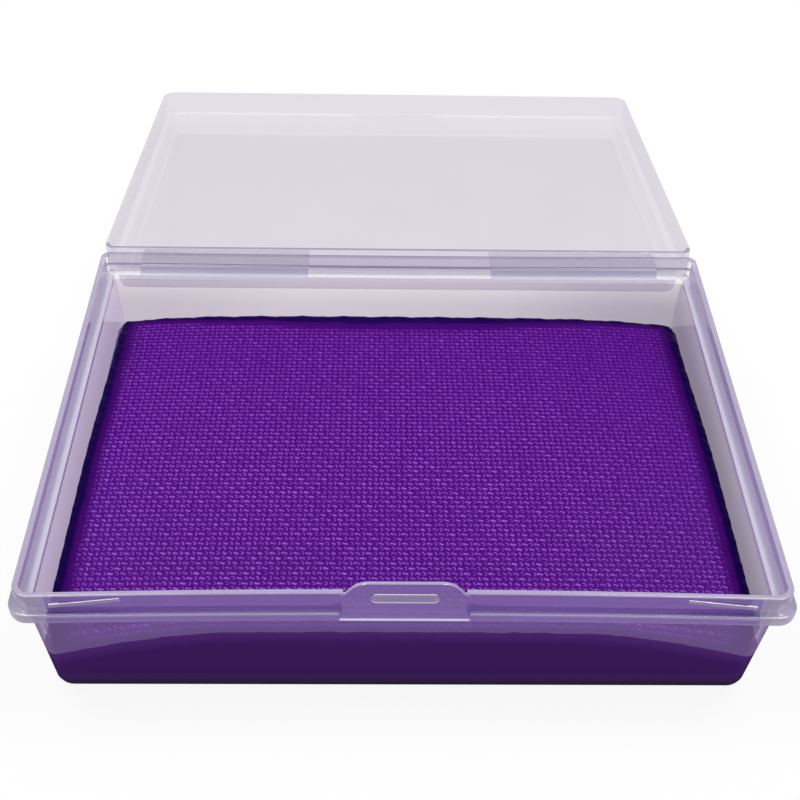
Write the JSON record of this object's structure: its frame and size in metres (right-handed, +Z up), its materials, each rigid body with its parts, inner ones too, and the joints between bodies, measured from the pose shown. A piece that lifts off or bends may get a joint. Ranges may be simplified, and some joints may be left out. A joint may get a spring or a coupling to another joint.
{
  "type": "hinged paint cake case",
  "caption": "Flat clear plastic case with a strap-hinged lid and a snap latch, holding a cast cake of purple craft paint with a woven surface.",
  "frame": {"origin": "centre of the tray's underside, on the table", "axes": "+Z up, -Y towards the latch, +Y towards the hinge, +X to the right seen from the latch side"},
  "size_m": [0.115, 0.1723, 0.028],
  "materials": {
    "clear_case": "clear moulded plastic, faintly lavender, slightly hazy",
    "purple_paint": "cast paint cake with a woven impression, satin"
  },
  "bodies": {
    "base": {"base_tray": "clear_case", "tray_hinge_leaf_left": "clear_case", "tray_hinge_leaf_right": "clear_case", "paint_cake": "purple_paint"},
    "lid": {"lid": "clear_case", "lid_hinge_leaf_left": "clear_case", "lid_hinge_leaf_right": "clear_case"}
  },
  "joints": [
    {"name": "lid_hinge", "type": "hinge", "parent": "base", "child": "lid", "pos_m": [0, 0.04445, 0.02277], "axis": [1, 0, 0], "range_deg": [0, 188.87]}
  ]
}
